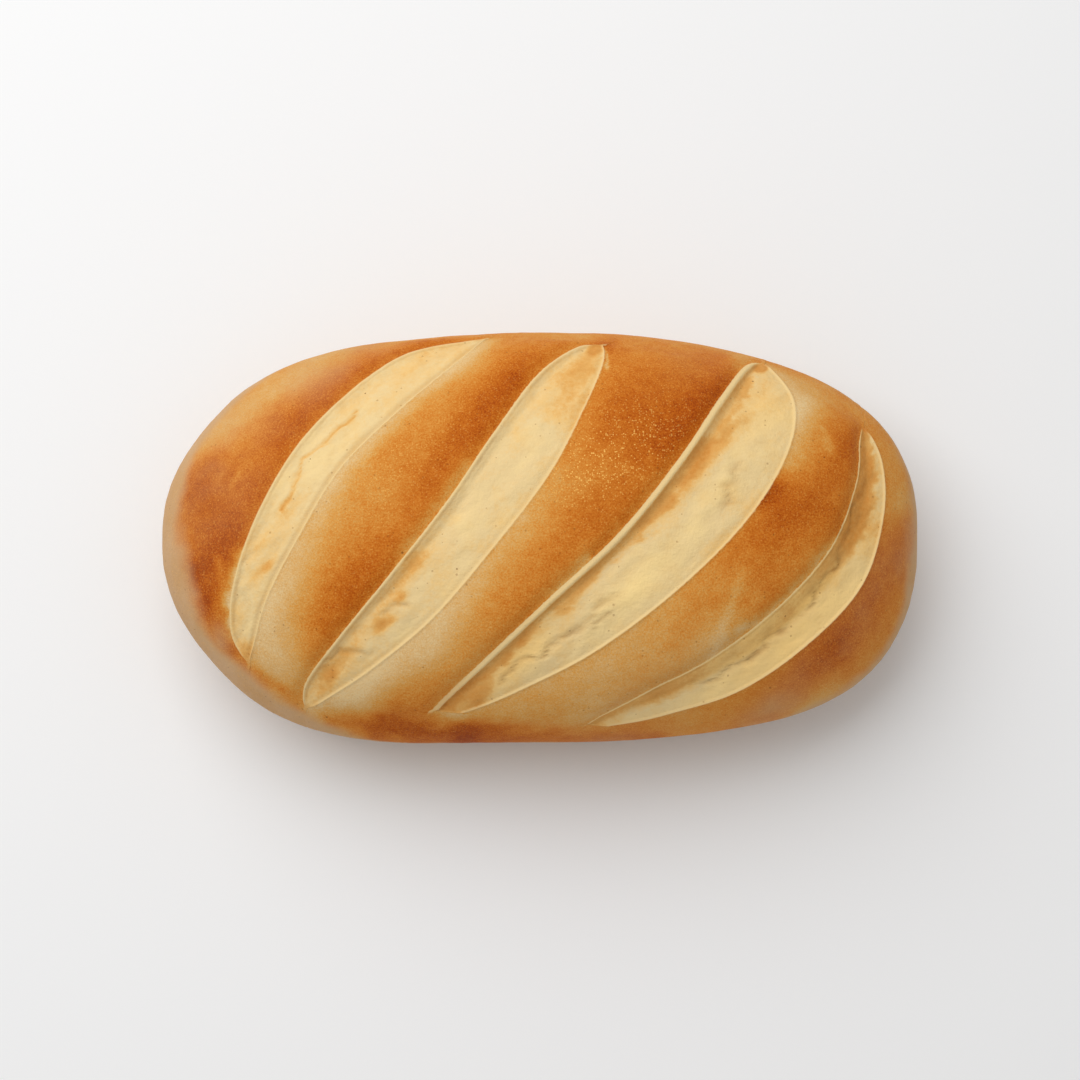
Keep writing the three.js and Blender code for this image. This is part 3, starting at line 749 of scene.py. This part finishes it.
# warm patches: the crumb is yellower, and brighter with painted light where the cut lies in shade
WARM_AND_LIGHT_SPOTS = (
    (86, -38, 45, 12, 0.5), (-7, -48, 16, 5, 0.6), (76, 38, 14, 9, 0.4),
)

# %% Toast: the patches, a ragged strip along the wall's foot, the steep wall's warm painted shade, and the longest fold
STEEP_WALL = 0.4
# the steep wall lies in shade, and its painted shade is toasted and warmed as well as darkened
WALL_SHADE_TOAST, WALL_SHADE_WARMTH = 0.4, 0.5
FOLD_TOAST, FOLD_TOAST_WIDTH = 0.7, 1.2
TOAST_CLOUDS, STRIP_RAGGED = 0.22, 2.2
# mm past the wall's foot, to where each is full and where it ends
STRIP_FULL, STRIP_END = 1.5, 4
SHADE_FULL, SHADE_END = -1, 2

ragged_foot = wall_foot + STRIP_RAGGED * rough_noise(cut_frame, size=(5, 3, 5), seed=84)
strip = 1 - ease(from_left, ragged_foot + STRIP_FULL, ragged_foot + STRIP_END)
shaded_wall = 1 - ease(from_left, wall_foot + SHADE_FULL, wall_foot + SHADE_END)
shaded_wall *= of_cut["wall"] > STEEP_WALL
toast_and_light = soft_spots(TOAST_AND_LIGHT_SPOTS) + TOAST_CLOUDS * rough_noise(cut_frame, size=(10, 5, 10), seed=81)
toast_and_light += WALL_SHADE_TOAST * shaded_wall + FOLD_TOAST * bump(fold_away[0], FOLD_TOAST_WIDTH)
toast_and_light += of_cut["toasted"] * strip * ease(from_left, band_end, band_end + 0.5)
toast_and_light = np.clip(toast_and_light, -1, 1)
warmth_and_light = np.clip(soft_spots(WARM_AND_LIGHT_SPOTS) + WALL_SHADE_WARMTH * shaded_wall, 0, 1)

# %% Painted shade in the creases: the folds, the torn line, the steep wall, the rim and the deepest wrinkles
FOLD_SHADE, TORN_SHADE, WRINKLE_SHADE = 0.5, 1.2, 0.2
WALL_SHADE_MEAN, WALL_SHADE_CLOUDS = 0.02, 0.4
CREASE_WIDTH, TORN_WIDTH = 1.0, 0.8
# a gap as wide as the first shows its first crumb, and one as wide as the second is all crumb
CRUMB_GAPS = (0.6, 3.0)

crumb = in_cut * ease(gap, *CRUMB_GAPS)
crease = FOLD_SHADE * bump(fold_away[1:], CREASE_WIDTH).max(0)
crease += TORN_SHADE * bump(crinkle_away, TORN_WIDTH) * ease(floor_crinkles, -0.6, 0.1)
wall_clouds = WALL_SHADE_CLOUDS * rough_noise(cut_frame, size=(7, 3, 4), seed=91)
crease += shaded_wall * (WALL_SHADE_MEAN + wall_clouds)
crease += of_cut["groove"] * bump(from_right - RIM_CREASE_PLACE, CREASE_WIDTH)
crease += WRINKLE_SHADE * ease(-floor_crinkles, 0.35, 0.9)
crease = np.clip(crease, 0, 1) * crumb

# %% Where the golden specks lie thickest
FLECKED_SPOTS = ((15, 14, 13, 11, 1), (33, 24, 14, 12, 0.6), (-50, 12, 26, 10, 0.3))
golden = np.clip(soft_spots(FLECKED_SPOTS), 0, 1)


# %% Store the attributes
def store(mesh, name, values):
    """One value per point of the grid, with the underside rows set to 0 and the poles single."""
    rows_below = np.zeros((values.shape[0], UNDERSIDE_ROWS - 1))
    whole = np.concatenate([values, rows_below], axis=1)
    flat = np.concatenate([whole[0, :1], whole[1:-1].ravel(), whole[-1, :1]])
    mesh.attributes.new(name, "FLOAT", "POINT").data.foreach_set("value", flat.astype(np.float32))
    print(f"{name}: {flat.min():.2f} to {flat.max():.2f}")


for name, values in dict(
    browning=browning, side_pale=side_pale, crumb=crumb, toast_and_light=toast_and_light, crease=crease, warmth_and_light=warmth_and_light,
    golden=golden, sole=sole,
    from_lip=np.where(in_cut, from_left, -ear_away),
    from_rim=np.where(in_cut, -from_right, rim_away),
    lip_band=np.where(in_cut, band_end, of_cut["band"]),
    lip_open=np.where(in_cut, cut_open, ear_open),
    rim_open=np.where(in_cut, cut_open, rim_open),
).items():
    store(loaf_mesh, name, values)

# %% [markdown]
# ## Finishes
# Colours are written as they are seen on screen and turned into the linear numbers that Blender
# mixes. Node groups hold the effects that are used more than once: the row of colours that dough
# goes through in the oven, grain, scattered dots, and a line that follows a lip.


# %% Colour and node helpers
def linear(red, green, blue):
    """Screen colour 0 to 255 to linear light: ((c + 0.055) / 1.055)^2.4, or c / 12.92 near black."""
    c = np.array([red, green, blue]) / 255
    light = np.where(c <= 0.04045, c / 12.92, ((c + 0.055) / 1.055) ** 2.4)
    return (*map(float, light), 1.0)


def feed(tree, socket, value):
    """Links a socket to the input, or sets a plain value on it."""
    if isinstance(value, bpy.types.NodeSocket):
        tree.links.new(value, socket)
    else:
        socket.default_value = value


def add_node(tree, kind, inputs=None, **settings):
    """A node with its settings and its inputs, each by name or place."""
    node = tree.nodes.new(kind)
    for name, value in settings.items():
        setattr(node, name, value)
    for name, value in (inputs or {}).items():
        feed(tree, node.inputs[name], value)
    return node


def math_node(tree, operation, *values):
    """One sum on numbers or sockets; gives back its result."""
    return add_node(tree, "ShaderNodeMath", dict(enumerate(values)), operation=operation).outputs[0]


def times(tree, first, second):
    """first * second."""
    return math_node(tree, "MULTIPLY", first, second)


def plus(tree, first, second):
    """first + second."""
    return math_node(tree, "ADD", first, second)


def minus(tree, first, second):
    """first - second."""
    return math_node(tree, "SUBTRACT", first, second)


def clamped(tree, value):
    """The value kept between 0 and 1."""
    return add_node(tree, "ShaderNodeClamp", {"Value": value}).outputs["Result"]


def mix_colours(tree, factor, first, second):
    """first where factor is 0, second where it is 1."""
    node = add_node(tree, "ShaderNodeMix", data_type="RGBA")
    for name, value in (("Factor_Float", factor), ("A_Color", first), ("B_Color", second)):
        feed(tree, next(s for s in node.inputs if s.identifier == name), value)
    return next(s for s in node.outputs if s.identifier == "Result_Color")


def layered(tree, colour, *layers):
    """Mixes more colours over the first, one after the other, each by its own factor."""
    for factor, layer in layers:
        colour = mix_colours(tree, factor, colour, layer)
    return colour


def attribute(tree, name):
    """A stored attribute as a number."""
    return add_node(tree, "ShaderNodeAttribute", attribute_name=name).outputs["Fac"]


# %% Helpers for node groups
def new_group(name, inputs, **outputs):
    """A node group with named sockets; gives the group, its inside inputs and its outputs."""
    group = bpy.data.node_groups.new(name, "ShaderNodeTree")
    for side, sockets in (("INPUT", inputs), ("OUTPUT", outputs)):
        for label, kind in sockets.items():
            group.interface.new_socket(label, in_out=side, socket_type="NodeSocket" + kind)
    return group, group.nodes.new("NodeGroupInput").outputs, group.nodes.new("NodeGroupOutput").inputs


def use_group(tree, group, **inputs):
    """Places a group in a tree, feeds its inputs by name and gives back its one result."""
    return add_node(tree, "ShaderNodeGroup", inputs, node_tree=group).outputs[0]


# %% Group: the row of oven colours
OVEN_COLOURS = (
    (0.00, (228, 197, 144)),
    (0.20, (221, 178, 116)),
    (0.38, (218, 161, 84)),
    (0.52, (216, 143, 60)),
    (0.66, (208, 123, 40)),
    (0.80, (193, 102, 24)),
    (0.92, (177, 83, 14)),
    (1.00, (156, 66, 10)),
)


def oven_colour_group():
    """Browning 0 to 1, shifted by a little grain, read off a row of colours."""
    sockets = dict(Browning="Float", Grain="Float")
    group, given, result = new_group("oven_colour", sockets, Color="Color")
    shifted = plus(group, given["Browning"], given["Grain"])
    ramp = add_node(group, "ShaderNodeValToRGB", {"Fac": shifted})
    stops = ramp.color_ramp.elements
    while len(stops) < len(OVEN_COLOURS):
        stops.new(0.5)
    for stop, (place, colour) in zip(stops, OVEN_COLOURS):
        stop.position = place
        stop.color = linear(*colour)
    feed(group, result["Color"], ramp.outputs["Color"])
    return group


oven_colour = oven_colour_group()


# %% Group: grain
def grain_group():
    """Noise in several layers, from -0.5 to 0.5 times the strength."""
    sockets = dict(Vector="Vector", Scale="Float", Strength="Float")
    group, given, result = new_group("grain", sockets, Value="Float")
    noise = add_node(group, "ShaderNodeTexNoise", dict(
        Vector=given["Vector"], Scale=given["Scale"], Detail=3, Roughness=0.65))
    centred = minus(group, noise.outputs["Fac"], 0.5)
    feed(group, result["Value"], times(group, centred, given["Strength"]))
    return group


grain = grain_group()


# %% Group: scattered dots
def dots_group():
    """Dots in the cells of a pattern whose random number is below Share: 2.5 (1 - distance from
    the centre / radius), kept between 0 and 1. The radius is Size times 0.4 to 1.4."""
    sockets = dict(Vector="Vector", Scale="Float", Size="Float", Share="Float")
    group, given, result = new_group("dots", sockets, Mask="Float")
    pattern = dict(Vector=given["Vector"], Scale=given["Scale"])
    cells = add_node(group, "ShaderNodeTexVoronoi", pattern).outputs
    random = add_node(group, "ShaderNodeSeparateColor", {"Color": cells["Color"]}).outputs
    chosen = math_node(group, "LESS_THAN", random["Red"], given["Share"])
    radius = times(group, given["Size"], plus(group, random["Green"], 0.4))
    closeness = minus(group, 1.0, math_node(group, "DIVIDE", cells["Distance"], radius))
    feed(group, result["Mask"], times(group, chosen, clamped(group, times(group, closeness, 2.5))))
    return group


dots = dots_group()


# %% Group: a line that follows a lip
def lip_line_group():
    """1 between From and To along a distance in mm, softened over Soft and made to wander."""
    sockets = dict.fromkeys(("Distance", "From", "To", "Soft", "Wander"), "Float")
    group, given, result = new_group("lip_line", sockets, Mask="Float")
    place = plus(group, given["Distance"], given["Wander"])
    start = math_node(group, "DIVIDE", minus(group, place, given["From"]), given["Soft"])
    end = math_node(group, "DIVIDE", minus(group, given["To"], place), given["Soft"])
    feed(group, result["Mask"], times(group, clamped(group, start), clamped(group, end)))
    return group


lip_line_mask = lip_line_group()
print("groups:", [group.name for group in (oven_colour, grain, dots, lip_line_mask)])

# %% [markdown]
# ## The baked skin
# One material covers crust and crumb, because the real skin goes over from one to the other without
# a seam. It reads the stored attributes and adds what is too fine for the mesh: mottling, painted
# shade in small pits where bubbles burst, small golden specks, the thin pale line of every lip, which
# is partly painted highlight, and a thin line of painted shadow just inside each lip band.

# %% Colours of crumb, sides and marks
CRUMB_CREAM = linear(236, 207, 151)
CRUMB_YELLOW = linear(240, 199, 128)
# the pale and warm crumb colours are partly painted light, where a cut lies in shade
CRUMB_PALE = linear(255, 223, 154)
CRUMB_WARM_LIGHT = linear(255, 209, 125)
CRUMB_GOLD = linear(238, 188, 110)
CRUMB_TOASTED = linear(212, 142, 64)
# painted shade, for the creases, the steep wall and the line inside each lip band
PAINTED_SHADE_BROWN = linear(176, 128, 68)
# pale cut edge of the lips and rims, partly painted highlight
LIP_CREAM_AND_HIGHLIGHT = linear(234, 204, 146)
SIDE_DOUGH = linear(206, 168, 127)
SIDE_TAN = linear(200, 154, 101)
SOLE_BROWN = linear(176, 108, 48)
# painted shade in small pits
PIT_SHADE = linear(128, 70, 26)
SPECK_GOLD = linear(248, 190, 100)

# %% How strong the marks are, and the width of the painted shadow line by a lip, mm
SOLE_STRENGTH, CREASE_SHADE_STRENGTH = 0.75, 0.6
LIP_STRENGTH, RIM_HIGHLIGHT_STRENGTH, LIP_SHADOW_STRENGTH = 0.85, 0.85, 0.22
PIT_SHADE_STRENGTH, SMALL_PIT_SHADE_STRENGTH = 0.7, 0.35
LEAST_FLECKED = 0.2
LIP_SHADOW_WIDTH = 1.1


# %% Crust and crumb
def crust_colour(tree, place):
    """Oven colours by browning, shaken by coarse and fine grain; pale dough low on the sides."""
    fine = use_group(tree, grain, Vector=place, Scale=1800.0, Strength=0.75)
    coarse = use_group(tree, grain, Vector=place, Scale=260.0, Strength=0.26)
    colour = use_group(
        tree, oven_colour, Browning=attribute(tree, "browning"), Grain=plus(tree, fine, coarse))
    clouds = use_group(tree, grain, Vector=place, Scale=50.0, Strength=2.0)
    patchy = clamped(tree, plus(tree, plus(tree, clouds, fine), 0.4))
    side = mix_colours(tree, patchy, SIDE_DOUGH, SIDE_TAN)
    side = mix_colours(tree, times(tree, attribute(tree, "sole"), SOLE_STRENGTH), side, SOLE_BROWN)
    return mix_colours(tree, attribute(tree, "side_pale"), colour, side)


def crumb_colour(tree, place):
    """Cream with yellow clouds, going to gold and brown where toasted, paler and warmer with painted
    light where a cut lies in shade, and darker with painted shade in the creases.
    """
    clouds = use_group(tree, grain, Vector=place, Scale=90.0, Strength=2.4)
    fine = use_group(tree, grain, Vector=place, Scale=700.0, Strength=0.5)
    toasted = plus(tree, attribute(tree, "toast_and_light"), times(tree, fine, 1.2))
    yellow = clamped(tree, plus(tree, plus(tree, clouds, fine), 0.08))
    return layered(
        tree, mix_colours(tree, yellow, CRUMB_CREAM, CRUMB_YELLOW),
        (clamped(tree, times(tree, toasted, -1.0)), CRUMB_PALE),
        (attribute(tree, "warmth_and_light"), CRUMB_WARM_LIGHT),
        (clamped(tree, times(tree, toasted, 1.6)), CRUMB_GOLD),
        (clamped(tree, times(tree, minus(tree, toasted, 0.35), 1.3)), CRUMB_TOASTED),
        (times(tree, attribute(tree, "crease"), CREASE_SHADE_STRENGTH), PAINTED_SHADE_BROWN),
    )


# %% Lips
def lip_masks(tree, place):
    """The pale band over each left lip with the thin line of each right rim, both partly painted
    highlight, and the line of painted shadow just inside the band."""
    wander = use_group(tree, grain, Vector=place, Scale=600.0, Strength=1.1)
    from_lip, lip_band, lip_open = (attribute(tree, name) for name in ("from_lip", "lip_band", "lip_open"))
    band = use_group(tree, lip_line_mask, Distance=from_lip, From=-0.25,
                     To=plus(tree, lip_band, 0.25), Soft=0.25, Wander=wander)
    rim = use_group(tree, lip_line_mask, Distance=attribute(tree, "from_rim"), From=-0.8, To=0.3,
                    Soft=0.4, Wander=wander)
    rim = times(tree, times(tree, rim, attribute(tree, "rim_open")), RIM_HIGHLIGHT_STRENGTH)
    # the line of painted shadow just inside the lip band
    line_start = plus(tree, lip_band, 0.2)
    line = use_group(tree, lip_line_mask, Distance=from_lip, From=line_start,
                     To=plus(tree, line_start, LIP_SHADOW_WIDTH), Soft=0.5, Wander=wander)
    return math_node(tree, "MAXIMUM", times(tree, band, lip_open), rim), times(tree, line, lip_open)


# %% A finish for the loaf
def new_finish(name, roughness, gloss):
    """A material of the loaf: gives its node tree, its shader's inputs and the place on the loaf."""
    material = bpy.data.materials.new(name)
    material.use_nodes = True
    loaf_mesh.materials.append(material)
    shader = material.node_tree.nodes["Principled BSDF"].inputs
    shader["Roughness"].default_value = roughness
    shader["Specular IOR Level"].default_value = gloss
    place = add_node(material.node_tree, "ShaderNodeTexCoord").outputs["Object"]
    return material.node_tree, shader, place


def add_bumps(tree, shader, height, strength, distance):
    """Leans the shader's normal by the slope of height, distance being its full height in metres."""
    bumps = add_node(tree, "ShaderNodeBump", dict(Height=height, Strength=strength, Distance=distance))
    feed(tree, shader["Normal"], bumps.outputs["Normal"])


# %% Material of the top and sides
def finish_baked_skin():
    """Crust and crumb mixed by the crumb attribute, then the painted shadow inside the lip bands,
    painted shade in pits, specks, and the pale lips with their painted highlight.
    """
    tree, shader, place = new_finish("baked_skin", roughness=0.6, gloss=0.05)
    crumb_share = attribute(tree, "crumb")
    lip, lip_shadow_line = lip_masks(tree, place)
    pits = use_group(tree, dots, Vector=place, Scale=220.0, Size=0.08, Share=0.08)
    small_pits = use_group(tree, dots, Vector=place, Scale=620.0, Size=0.22, Share=0.10)
    pits, small_pits = times(tree, pits, PIT_SHADE_STRENGTH), times(tree, small_pits, SMALL_PIT_SHADE_STRENGTH)
    shaded_pits = math_node(tree, "MAXIMUM", pits, small_pits)
    specks = use_group(tree, dots, Vector=place, Scale=1700.0, Size=0.45, Share=0.35)
    flecked = times(tree, specks, plus(tree, attribute(tree, "golden"), LEAST_FLECKED))
    feed(tree, shader["Base Color"], layered(
        tree, mix_colours(tree, crumb_share, crust_colour(tree, place), crumb_colour(tree, place)),
        (times(tree, lip_shadow_line, times(tree, crumb_share, LIP_SHADOW_STRENGTH)), PAINTED_SHADE_BROWN),
        (shaded_pits, PIT_SHADE),
        (times(tree, flecked, minus(tree, 1.0, crumb_share)), SPECK_GOLD),
        (times(tree, lip, LIP_STRENGTH), LIP_CREAM_AND_HIGHLIGHT),
    ))
    fine_bumps = use_group(tree, grain, Vector=place, Scale=1000.0, Strength=1.0)
    add_bumps(tree, shader, minus(tree, fine_bumps, times(tree, shaded_pits, 0.8)), 0.45, 0.0006)


finish_baked_skin()
print("finish:", loaf_mesh.materials[0].name)

# %% [markdown]
# ## The underside
# The underside of such a loaf bakes hard against the oven floor: evenly brown, dry, and dusted in
# patches with the flour it stood on. It could share the skin's material, but nothing about the cuts
# reaches it, so a plain one of its own is simpler.

# %% Material of the underside
def finish_underside():
    """One browning all over, shaken by floury patches and grain, with pits darkened by painted shade."""
    tree, shader, place = new_finish("oven_floor_crust", roughness=0.75, gloss=0.2)
    patches = use_group(tree, grain, Vector=place, Scale=45.0, Strength=0.9)
    fine_grain = use_group(tree, grain, Vector=place, Scale=500.0, Strength=0.25)
    both = plus(tree, patches, fine_grain)
    pits = use_group(tree, dots, Vector=place, Scale=160.0, Size=0.3, Share=0.3)
    colour = use_group(tree, oven_colour, Browning=0.5, Grain=both)
    feed(tree, shader["Base Color"], mix_colours(tree, times(tree, pits, 0.5), colour, PIT_SHADE))
    add_bumps(tree, shader, minus(tree, both, pits), 0.5, 0.0008)


finish_underside()

# every hoop's faces, and the fan at either pole, run through the same rows
face_row = np.tile(np.arange(skin.shape[1]), len(hoop_zone) - 1)
loaf_mesh.polygons.foreach_set("material_index", (face_row >= ROWS).astype(np.int32))
loaf_mesh.update()
print("underside faces:", int((face_row >= ROWS).sum()))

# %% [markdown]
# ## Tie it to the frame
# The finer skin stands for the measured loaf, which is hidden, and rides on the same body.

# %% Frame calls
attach(white_loaf, "root")
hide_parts("loaf")

# %% [markdown]
# ## Floor, light and camera
# The photograph looks down on the loaf, about ten degrees off straight down, from nearly a metre
# away. The light is soft and comes from the upper left. A pale floor throws some of it back up
# under the sides.

# %% Floor
FLOOR_HALF = 3.0
FLOOR_WHITE = (0.93, 0.93, 0.93, 1)
FLOOR_ROUGHNESS = 0.9

floor_mesh = bpy.data.meshes.new("floor")
floor_corners = [(x * FLOOR_HALF, y * FLOOR_HALF, 0) for x, y in ((-1, -1), (1, -1), (1, 1), (-1, 1))]
floor_mesh.from_pydata(floor_corners, [], [(0, 1, 2, 3)])
floor = bpy.data.objects.new("floor", floor_mesh)
bpy.context.collection.objects.link(floor)
floor_finish = bpy.data.materials.new("pale_floor")
floor_finish.use_nodes = True
floor_shader = floor_finish.node_tree.nodes["Principled BSDF"].inputs
floor_shader["Base Color"].default_value = FLOOR_WHITE
floor_shader["Roughness"].default_value = FLOOR_ROUGHNESS
floor_mesh.materials.append(floor_finish)

# %% Camera
CAMERA_ELEVATION = math.radians(80)
CAMERA_DISTANCE = 0.892
CAMERA_LENS = 85
LOOK_AT = Vector((0.0, -0.0003, 0.030))

camera_data = bpy.data.cameras.new("camera")
camera_data.lens = CAMERA_LENS
camera_data.sensor_width = 36
camera = bpy.data.objects.new("camera", camera_data)
away = Vector((0, -math.cos(CAMERA_ELEVATION), math.sin(CAMERA_ELEVATION)))
camera.location = LOOK_AT + away * CAMERA_DISTANCE
camera.rotation_euler = away.to_track_quat("Z", "Y").to_euler()
bpy.context.collection.objects.link(camera)
bpy.context.scene.camera = camera

# %% Light: a square lamp that faces the loaf, and a white sky
LAMP_PLACE = Vector((-0.5, 0.6, 1.15))
LAMP_SIZE = 1.5
LAMP_WATTS = 14.8
SKY_STRENGTH = 0.46

lamp_data = bpy.data.lights.new("key", "AREA")
lamp_data.size = LAMP_SIZE
lamp_data.energy = LAMP_WATTS
lamp = bpy.data.objects.new("key", lamp_data)
lamp.location = LAMP_PLACE
lamp.rotation_euler = (LAMP_PLACE - LOOK_AT).to_track_quat("Z", "Y").to_euler()
bpy.context.collection.objects.link(lamp)
world = bpy.data.worlds.new("studio")
world.use_nodes = True
sky = world.node_tree.nodes["Background"].inputs
sky["Color"].default_value = (1, 1, 1, 1)
sky["Strength"].default_value = SKY_STRENGTH
bpy.context.scene.world = world
bpy.context.scene.view_settings.view_transform = "Standard"
